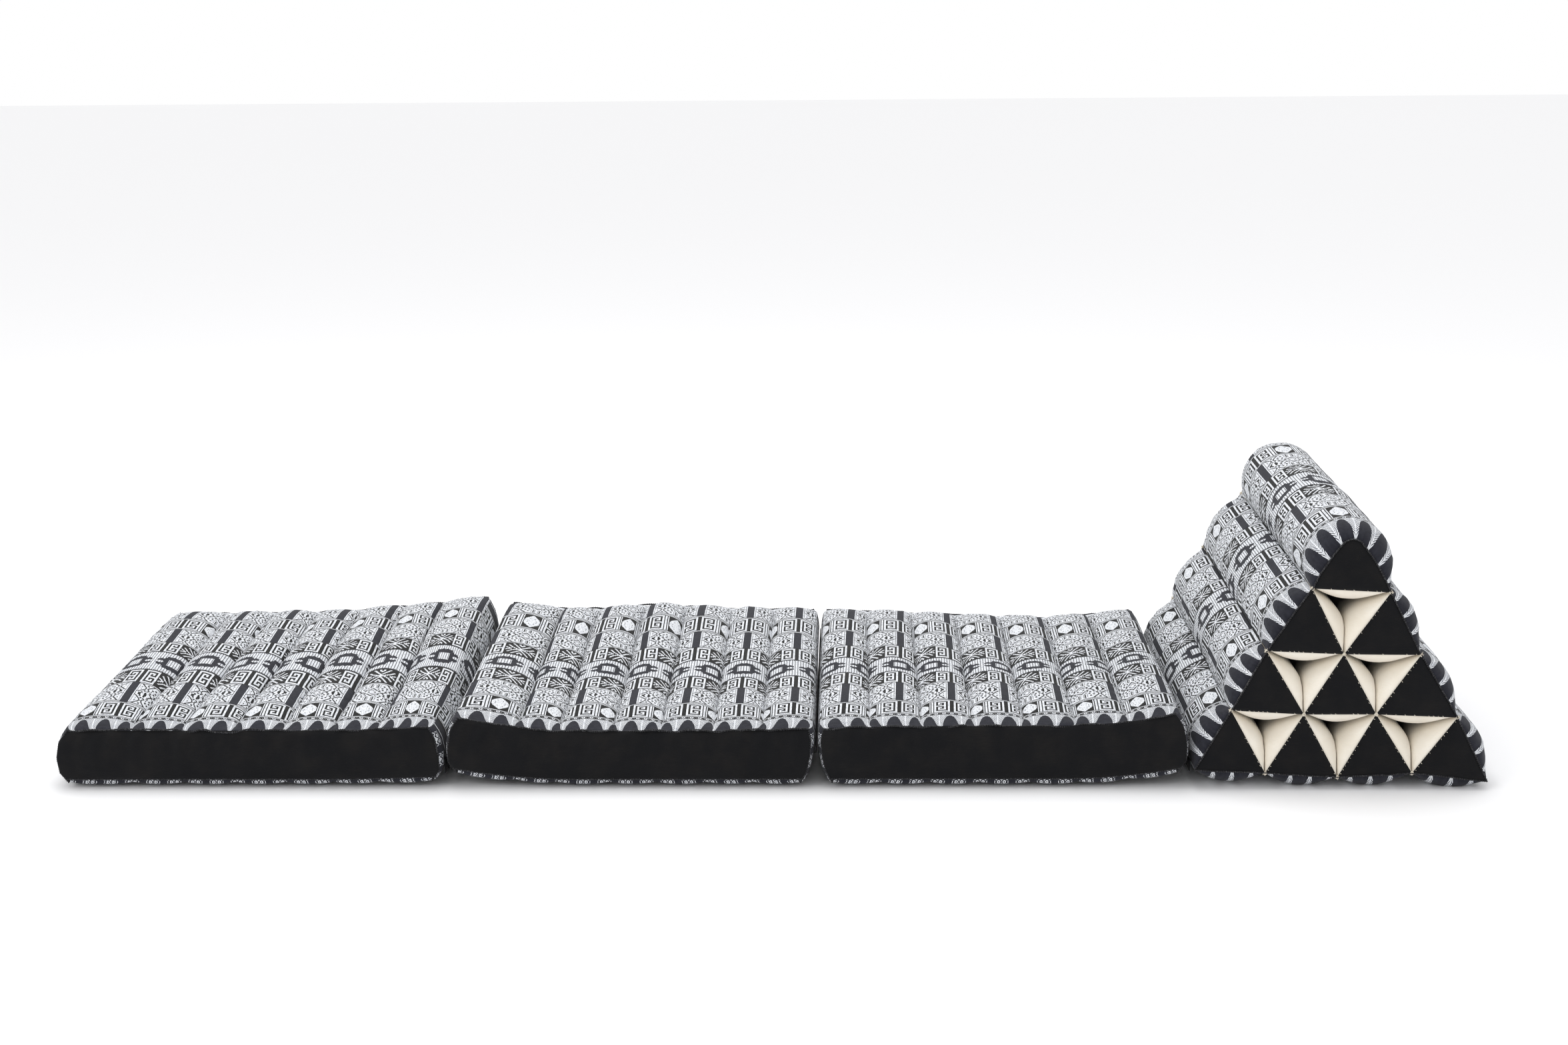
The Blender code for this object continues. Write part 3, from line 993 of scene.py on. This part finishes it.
def wall_bulge(a, b, middle, t, distance, side):
    """How far a wall swells into its hollow, at a share t of its width, fuller towards the hollow's foot."""
    bulge, lean = (TOP_WALL_BULGE, 0.0) if side == 0 else (SIDE_WALL_BULGE, WALL_LEAN)
    to_foot = 1.0 - 2.0 * t if side == 1 else 2.0 * t - 1.0
    along = (b - a).normalized()
    reach = (middle - a).dot(along) / (b - a).length
    height = abs((middle - a).cross(along))
    limit = height * (t / reach if t < reach else (1.0 - t) / (1.0 - reach))
    free = bulge * quarter_round(distance, WALL_ROLL) * 4.0 * t * (1.0 - t) * (1.0 + lean * to_foot)
    return min(free, limit)


def pipe_outline(level, place, distance):
    """The closed outline of a pipe at a distance from its nearer end: (point, kind, side, share of side)."""
    corners = pipe_corners(level, place)
    centre = sum(corners, Vector((0.0, 0.0))) / 3
    inset = [c + (centre - c).normalized() * GAP for c in corners]
    last = PIPE_ROWS - 1 - level
    sides = (
        ("base" if level == 0 else "wall", 0, 1, corner(level - 1, place + 1) if level else None),
        ("outer" if place == last else "wall", 1, 2, corner(level + 1, place + 1) if place < last else None),
        ("outer" if place == 0 else "wall", 2, 0, corner(level + 1, place - 1) if place else None),
    )
    roll = quarter_round(distance, OUTER_ROLL)
    outline = []
    for side, (kind, start, end, far) in enumerate(sides):
        a, b = inset[start], inset[end]
        outward = Vector(((b - a).y, -(b - a).x)).normalized()
        for t in crowded(SIDE_CUTS):
            point = a + (b - a) * t
            if kind == "wall":
                middle = incentre(corners[start], corners[end], far)
                swell = wall_bulge(a, b, middle, t, distance, side) - GAP / 2
            elif kind == "outer":
                swell = OUTER_BULGE * roll * math.sin(math.pi * t) ** OUTER_ROUND
            else:
                swell = min(point.y, FLOOR_BULGE * roll * math.sin(math.pi * t) ** FLOOR_ROUND)
            outline.append([point + outward * max(0.0, swell), kind, side, t])
    if level == PIPE_ROWS - 1:
        round_the_crown(outline, inset, CROWN_END + (1.0 - CROWN_END) * roll)
    return outline


def blunted(point, peak, lean, side):
    """A point of the crown's sides, moved onto a round of CROWN_BLUNT where it lies near the peak."""
    reach = CROWN_BLUNT / math.tan(lean)
    from_peak = (point - peak).length / reach
    if from_peak >= 1.0:
        return point
    turn = from_peak * (math.pi / 2 - lean)
    centre = peak.y - CROWN_BLUNT / math.sin(lean)
    return Vector((peak.x + side * CROWN_BLUNT * math.sin(turn), centre + CROWN_BLUNT * math.cos(turn)))


def round_the_crown(outline, inset, share):
    """The top pipe has no seam along its ridge, so its cloth runs round it in one arc."""
    half = (inset[1].x - inset[0].x) / 2
    centre_x = (inset[1].x + inset[0].x) / 2
    rise = CROWN_TOP - inset[0].y
    lift = (rise * rise - half * half) / (2 * rise)
    radius = rise - lift
    low = math.asin(-lift / radius)
    lean = math.atan2(half, inset[2].y - inset[0].y)
    for entry in outline[SIDE_CUTS:]:
        on_arc = (entry[2] - 1 + entry[3]) / 2
        angle = low + (math.pi - 2 * low) * on_arc
        arc = Vector((centre_x + radius * math.cos(angle), inset[0].y + lift + radius * math.sin(angle)))
        start = entry[2]
        flat = inset[start].lerp(inset[(start + 1) % 3], entry[3])
        entry[0] = blunted(flat, inset[2], lean, 1.0 if start == 1 else -1.0).lerp(arc, share)


def roll_pucker(kind, level, side, t, y, seed):
    """Gathers that run in from the end seams, and dimples along the long seams between pipes."""
    from_end = HALF_DEPTH - SKIN - abs(y)
    from_edge = min(t, 1.0 - t) * ROLL_FACE
    gather = noise.noise(Vector((t * 9.0 + 3.0 * side, y * 9.0, seed))) * math.exp(-from_end / 0.030)
    dimple = noise.noise(Vector((t * 2.0 + side, y * 60.0, seed + 3.0))) * math.exp(-from_edge / 0.014)
    broad = noise.noise(Vector((t * 1.5 + side, y * 12.0, seed + 6.0)))
    hold = min(1.0, from_end / 0.005) * min(1.0, from_edge / 0.005)
    return hold * ROLL_PUCKERS[kind] * (1.2 * gather + 1.0 * dimple + 0.9 * broad)


def build_pipe(level, place):
    name = f"pipe_{level + 1}_{place + 1}"
    seed = 40.0 + 5.3 * level + 2.9 * place
    end = HALF_DEPTH - SKIN
    stations = [-end + 2 * end * share for share in depth_shares()]
    bm = bmesh.new()
    layer = bm.loops.layers.uv.new("cloth")
    rings = []
    facts = []
    for y in stations:
        outline = pipe_outline(level, place, min(end + y, end - y))
        centre = sum((entry[0] for entry in outline), Vector((0.0, 0.0))) / len(outline)
        ring = []
        for point, kind, side, t in outline:
            outward = (point - centre).normalized()
            point = point + outward * roll_pucker(kind, level, side, t, y, seed)
            ring.append(bm.verts.new((point.x, y, point.y)))
        rings.append(ring)
        facts = [(kind, side, t) for point, kind, side, t in outline]
    around = len(facts)
    below = ROLL_FACE * (PIPE_ROWS - 1 - level)

    def cloth_at(kind, side, t, y):
        if kind != "outer":
            return (t + place) * ROLL_FACE, end - abs(y)
        from_ridge = below + t * ROLL_FACE if side == 2 else -(below + (1.0 - t) * ROLL_FACE)
        return 1.0 + RIDGE_SHIFT - from_ridge, between(ROLL_BANDS, CLOTH_BANDS, y + end)

    for number, face in enumerate(join_rings(bm, rings)):
        j, n = divmod(number, around)
        kind, side, t = facts[n]
        after = (n + 1) % around
        t_after = facts[after][2] if after and facts[after][1] == side else 1.0
        face.material_index = 1 if kind == "wall" else 0
        here, beyond = stations[j], stations[j + 1]
        spots = ((t, here), (t_after, here), (t_after, beyond), (t, beyond))
        for loop, (share, y) in zip(face.loops, spots):
            loop[layer].uv = cloth_at(kind, side, share, y)
    bm.faces.new(rings[0]).material_index = 1
    bm.faces.new(rings[-1]).material_index = 1
    bmesh.ops.recalc_face_normals(bm, faces=bm.faces)
    piece = new_piece(name + "_cover", bm, feather_cloth, cream_cotton)
    held = {}
    for j, y in enumerate(stations):
        for n, (kind, side, t) in enumerate(facts):
            ends = j in (0, len(stations) - 1)
            edge = t == 0.0 and not (level == PIPE_ROWS - 1 and side == 2)
            held[j * around + n] = 1.0 if kind != "outer" or ends or edge else 0.0
    if any(kind == "outer" for kind, side, t in facts):
        plump(piece, held, 3.0, 0.04, 0.004)
    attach(piece, "root")
    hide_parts(name)
    return piece


for level, place in PIPES:
    build_pipe(level, place)

# Caps
# A triangle of plain black cotton closes each end of every pipe. The stuffing pushes it out a little, and
# it is gathered along its three seams.
CAP_CUTS = 12
CAP_DOME = 0.0045
CAP_CLOTH = 0.0010
CAP_CREASE = 0.0009


def build_cap(level, place, side):
    word, out = SIDES[side]
    name = f"cap_{word}_{level + 1}_{place + 1}"
    seed = 70.0 + 6.1 * level + 3.3 * place + 1.7 * side
    centre = sum(pipe_corners(level, place), Vector((0.0, 0.0))) / 3
    edge = [entry[0] for entry in pipe_outline(level, place, 0.0)]
    bm = bmesh.new()
    rings = []
    for n in range(1, CAP_CUTS + 1):
        share = n / CAP_CUTS
        ring = []
        for point in edge:
            flat = centre.lerp(point, share)
            crease = noise.noise(Vector((flat.x * 80.0, flat.y * 80.0, seed)))
            broad = noise.noise(Vector((flat.x * 26.0, flat.y * 26.0, seed + 2.0)))
            hold = min(1.0, (1.0 - share) * 9.0)
            bump = CAP_DOME * (1.0 - share ** 2.6) ** 0.8
            bump += hold * CAP_CREASE * (1.5 * crease * math.exp(-(1.0 - share) * 6.0) + broad)
            ring.append(bm.verts.new((flat.x, out * (HALF_DEPTH - CAP_CLOTH + bump), flat.y)))
        rings.append(ring)
    middle = bm.verts.new((centre.x, out * (HALF_DEPTH - CAP_CLOTH + CAP_DOME), centre.y))
    for n, vert in enumerate(rings[0]):
        bm.faces.new((middle, rings[0][(n + 1) % len(edge)], vert))
    join_rings(bm, rings)
    if word == "front":
        bmesh.ops.reverse_faces(bm, faces=bm.faces)
    piece = new_piece(name + "_cloth", bm, black_cotton)
    wall = piece.modifiers.new("cloth", "SOLIDIFY")
    wall.thickness = CAP_CLOTH
    wall.offset = 0.0
    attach(piece, "root")
    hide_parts(name)
    return piece


for level, place in PIPES:
    for side in (0, 1):
        build_cap(level, place, side)

# Seams
# The edges of the covers are turned out and overlocked in black thread, so that a thin wavy cord of close
# loops stands all round every gusset and along the outer sides of the caps.
CORD_THICKNESS = 0.0020
LOOP_PITCH = 0.0026
LOOP_RADIUS = 0.00125
LOOP_THREAD = 0.00042
SEAM_SWAY = 0.0018
SEAM_OUT = 0.0012
SEAM_FLOOR = 0.0016
THREAD_TONE = (0.0060, 0.0062, 0.0080)
THREAD_FLECK = (0.060, 0.060, 0.066)


def thread_material(name, yarn, fleck, roughness):
    material, tree, shader = shader_tree(name, roughness, 0.1)
    place = object_place(tree)
    share = ramp_between(cloud(tree, place, 0.0018, 1.0), 0.50, 0.72)
    feed(tree, shader.inputs["Base Color"], blend_colours(share, yarn, fleck))
    raise_bump(tree, shader, cloud(tree, place, 0.0005), 0.0002, 0.5)
    return material


black_thread = thread_material("black_overlock_thread", THREAD_TONE, THREAD_FLECK, 0.7)


def start_tree(name, result, numbers):
    """A tree that is given edges and named numbers, with its sockets' identifiers, the given outputs, and
    the edges made curves."""
    tree = bpy.data.node_groups.new(name, "GeometryNodeTree")
    sockets = [("Edges", "INPUT", "NodeSocketGeometry"), (result, "OUTPUT", "NodeSocketGeometry")]
    sockets += [(number, "INPUT", "NodeSocketFloat") for number in numbers]
    names = {}
    for socket, way, kind in sockets:
        names[socket] = tree.interface.new_socket(name=socket, in_out=way, socket_type=kind).identifier
    given = add_node(tree, "NodeGroupInput").outputs
    curve = wired(tree, "GeometryNodeMeshToCurve", {"Mesh": given["Edges"]})["Curve"]
    return tree, names, given, curve


def finish_tree(tree, geometry, material):
    real = wired(tree, "GeometryNodeRealizeInstances", {"Geometry": geometry})["Geometry"]
    dressed = wired(tree, "GeometryNodeSetMaterial", {"Geometry": real, "Material": material})
    wired(tree, "NodeGroupOutput", {0: dressed["Geometry"]})


def chance(tree, kind, seed, inputs):
    return wired(tree, "FunctionNodeRandomValue", {**inputs, "Seed": seed}, data_type=kind)


def overlock_tree(material):
    """Turns a run of edges into a thin cord with a loop of thread round it at every pitch."""
    tree, names, given, curve = start_tree("overlocked_edge", "Seam", ("Cord", "Pitch", "Loop", "Thread"))
    inputs = {"Curve": curve, "Length": given["Pitch"]}
    spaced = wired(tree, "GeometryNodeResampleCurve", inputs, mode="LENGTH")["Curve"]

    def ring(number, points):
        inputs = {"Resolution": points, "Radius": given[number]}
        return wired(tree, "GeometryNodeCurvePrimitiveCircle", inputs)["Curve"]

    def tube(path, profile, caps):
        inputs = {"Curve": path, "Profile Curve": profile, "Fill Caps": caps}
        return wired(tree, "GeometryNodeCurveToMesh", inputs)["Mesh"]

    cord = tube(spaced, ring("Cord", 6), True)
    loop = tube(ring("Loop", 8), ring("Thread", 3), False)
    points = wired(tree, "GeometryNodeCurveToPoints", {"Curve": spaced}, mode="EVALUATED")
    lean = chance(tree, "FLOAT_VECTOR", 7, {0: (-0.25, -0.25, 0.0), 1: (0.25, 0.45, 0.0)})[0]
    inputs = {"Rotation": points["Rotation"], "Rotate By": lean}
    turned = wired(tree, "FunctionNodeRotateEuler", inputs, rotation_type="EULER", space="LOCAL")
    inputs = {"Points": points["Points"], "Instance": loop, "Rotation": turned["Rotation"]}
    loops = wired(tree, "GeometryNodeInstanceOnPoints", inputs)["Instances"]
    both = add_node(tree, "GeometryNodeJoinGeometry")
    for part in (cord, loops):
        tree.links.new(part, both.inputs["Geometry"])
    finish_tree(tree, both.outputs["Geometry"], material)
    return tree, names


def edge_runs(name, runs):
    """An object of bare edges, one run for each list of points."""
    bm = bmesh.new()
    for run in runs:
        verts = [bm.verts.new(point) for point in run]
        for one, following in zip(verts, verts[1:]):
            bm.edges.new((one, following))
    mesh = bpy.data.meshes.new(name)
    bm.to_mesh(mesh)
    bm.free()
    piece = bpy.data.objects.new(name, mesh)
    scene.collection.objects.link(piece)
    return piece


def grow_nodes(piece, tree, settings):
    """Runs the tree on the piece and keeps the result as its plain mesh."""
    grower = piece.modifiers.new("grower", "NODES")
    grower.node_group = tree
    for identifier, value in settings.items():
        grower[identifier] = value
    graph = bpy.context.evaluated_depsgraph_get()
    mesh = bpy.data.meshes.new_from_object(piece.evaluated_get(graph))
    piece.modifiers.remove(grower)
    piece.data = mesh
    mesh.name = piece.name
    mesh.polygons.foreach_set("use_smooth", [True] * len(mesh.polygons))
    return piece


overlock, overlock_names = overlock_tree(black_thread)


def overlocked_seam(name, runs, size=1.0):
    piece = edge_runs(name, runs)
    settings = {
        overlock_names["Cord"]: CORD_THICKNESS / 2 * size,
        overlock_names["Pitch"]: LOOP_PITCH,
        overlock_names["Loop"]: LOOP_RADIUS * size,
        overlock_names["Thread"]: LOOP_THREAD,
    }
    grow_nodes(piece, overlock, settings)
    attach(piece, "root")
    return piece


def sway(place, seed, reach=SEAM_SWAY):
    return Vector((0.0, reach * noise.noise(Vector((place * 38.0, seed, 0.5))),
                   1.6 * reach * noise.noise(Vector((place * 52.0, seed, 8.5)))))


for number, mat in enumerate(MATS):
    for side, (word, way) in enumerate(SIDES):
        out = Vector((0.0, way * SEAM_OUT, 0.0))
        top_run = []
        foot_run = []
        for n in range(241):
            u = n / 240
            wave = sway(u * mat["length"], 3.0 * number + side)
            top_run.append(mat_point(mat, u, float(side), 1.0) + out + wave + Vector((0.0, 0.0, 0.0004)))
            foot_run.append(mat_point(mat, u, float(side), TURN_UP) + out)
        left_run = [mat_point(mat, 0.0, float(side), n / 20) + out for n in range(21)]
        right_run = [mat_point(mat, 1.0, float(side), n / 20) + out for n in range(21)]
        for run in (foot_run, left_run, right_run):
            for point in run:
                point.z = max(point.z, SEAM_FLOOR)
        overlocked_seam(f"seam_{word}_{number + 1}", (top_run, foot_run, left_run, right_run))

for side, (word, out) in enumerate(SIDES):
    runs = []
    for level, place in PIPES:
        outline = pipe_outline(level, place, 0.0)
        outline.append(outline[0])
        for which in range(3):
            if outline[which * SIDE_CUTS][1] == "wall":
                continue
            run = []
            for point, kind, at, t in outline[which * SIDE_CUTS:(which + 1) * SIDE_CUTS + 1]:
                wave = sway(point.x + point.y, 40.0 + level + side, 0.0006)
                spot = Vector((point.x, out * (HALF_DEPTH + 0.0002), max(point.y, SEAM_FLOOR)))
                run.append(spot + Vector((wave.y, 0.0, wave.z)))
            runs.append(run)
    overlocked_seam(f"seam_{word}_stack", runs, 0.85)

# Hand stitches
# The caps are joined to the cream walls by hand, with overcast stitches of pale thread, of which about half
# show, and the thread is gathered into a small knot wherever the corners of pipes meet.
STITCH_PITCH = 0.0052
STITCH_LENGTH = 0.0022
STITCH_THREAD = 0.00034
STITCHES_SHOWN = 0.55
PALE_THREAD = (0.62, 0.57, 0.48)
PALE_SHADED = (0.36, 0.31, 0.23)
KNOT_RADIUS = 0.0024
STRAND_LENGTH = 0.0036
STRAND_COUNT = 5

pale_thread = thread_material("pale_hand_thread", PALE_THREAD, PALE_SHADED, 0.8)


def stitch_tree(material):
    """Lays short stitches across a run of edges at every pitch, each a little askew."""
    tree, names, given, curve = start_tree("overcast_stitches", "Stitches", ("Pitch", "Length", "Thread"))
    inputs = {"Curve": curve, "Length": given["Pitch"]}
    points = wired(tree, "GeometryNodeCurveToPoints", inputs, mode="LENGTH")["Points"]
    stitch = wired(tree, "GeometryNodeMeshUVSphere", {"Segments": 6, "Rings": 5, "Radius": 1.0})["Mesh"]
    half = Wire(tree, given["Length"]) * 0.5
    shape = wired(tree, "ShaderNodeCombineXYZ", {"X": half, "Y": given["Thread"], "Z": given["Thread"]})[0]
    shows = chance(tree, "BOOLEAN", 3, {"Probability": STITCHES_SHOWN})[3]
    askew = chance(tree, "FLOAT_VECTOR", 11, {0: (0.0, 0.25, 0.0), 1: (0.0, 1.05, 0.0)})[0]
    size = chance(tree, "FLOAT", 5, {2: 0.7, 3: 1.15})[1]
    scaled = wired(tree, "ShaderNodeVectorMath", {0: shape, "Scale": size}, operation="SCALE")[0]
    inputs = {"Points": points, "Selection": shows, "Instance": stitch, "Rotation": askew, "Scale": scaled}
    finish_tree(tree, wired(tree, "GeometryNodeInstanceOnPoints", inputs)["Instances"], material)
    return tree, names


overcast, overcast_names = stitch_tree(pale_thread)

for word, out in SIDES:
    runs = []
    for level, place in PIPES:
        corners = pipe_corners(level, place)
        centre = sum(corners, Vector((0.0, 0.0))) / 3
        outline = pipe_outline(level, place, 0.0)
        for which in range(3):
            if outline[which * SIDE_CUTS][1] != "wall":
                continue
            run = []
            for n in range(13):
                point = corners[which].lerp(corners[(which + 1) % 3], 0.05 + 0.9 * n / 12)
                point = point.lerp(centre, 0.035)
                run.append(Vector((point.x, out * (HALF_DEPTH + 0.0006), point.y)))
            runs.append(run)
    piece = edge_runs(f"hand_stitches_{word}", runs)
    settings = {
        overcast_names["Pitch"]: STITCH_PITCH,
        overcast_names["Length"]: STITCH_LENGTH,
        overcast_names["Thread"]: STITCH_THREAD,
    }
    grow_nodes(piece, overcast, settings)
    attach(piece, "root")


def add_knot(bm, place, out, seed):
    """A crumpled ball of thread with loose ends lying on the caps round it."""
    ball = bmesh.ops.create_icosphere(bm, subdivisions=2, radius=KNOT_RADIUS)
    for vert in ball["verts"]:
        vert.co *= 1.0 + 0.35 * noise.noise(vert.co * 700.0 + Vector((seed, 0.0, 0.0)))
        vert.co.y *= 0.6
        vert.co += place
    for n in range(STRAND_COUNT):
        angle = 2 * math.pi * (n + 0.6 * noise.noise(Vector((seed, n * 1.7, 3.0)))) / STRAND_COUNT
        length = STRAND_LENGTH * (0.7 + 0.5 * abs(noise.noise(Vector((seed, n * 2.3, 6.0)))))
        reach = Vector((math.cos(angle), 0.0, math.sin(angle)))
        across = Vector((-reach.z, 0.0, reach.x))
        bend = noise.noise(Vector((seed + 2.0, n * 3.1, 1.0)))
        rings = []
        for step in range(6):
            s = step / 5
            spot = place + reach * (0.4 * KNOT_RADIUS + length * s) + across * (bend * length * 0.5 * s * s)
            spot.y += out * (0.0006 - 0.0012 * s)
            thick = STITCH_THREAD * (1.0 - 0.4 * s)
            ring = []
            for k in range(4):
                turn = math.pi * k / 2
                offset = across * math.cos(turn) * thick + Vector((0.0, math.sin(turn) * thick, 0.0))
                ring.append(bm.verts.new(spot + offset))
            rings.append(ring)
        join_rings(bm, rings)
        bm.faces.new(rings[0])
        bm.faces.new(rings[-1])


for side, (word, out) in enumerate(SIDES):
    bm = bmesh.new()
    spots = [(corner(level, place), 5.0 * level + place)
             for level in range(1, PIPE_ROWS) for place in range(PIPE_ROWS + 1 - level)]
    spots += [(corner(0, place), 60.0 + place) for place in range(1, PIPE_ROWS)]
    for spot, seed in spots:
        add_knot(bm, Vector((spot.x, out * (HALF_DEPTH - 0.0004), spot.y)), out, seed + 31.0 * side)
    bmesh.ops.recalc_face_normals(bm, faces=bm.faces)
    piece = new_piece(f"knots_{word}", bm, pale_thread)
    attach(piece, "root")
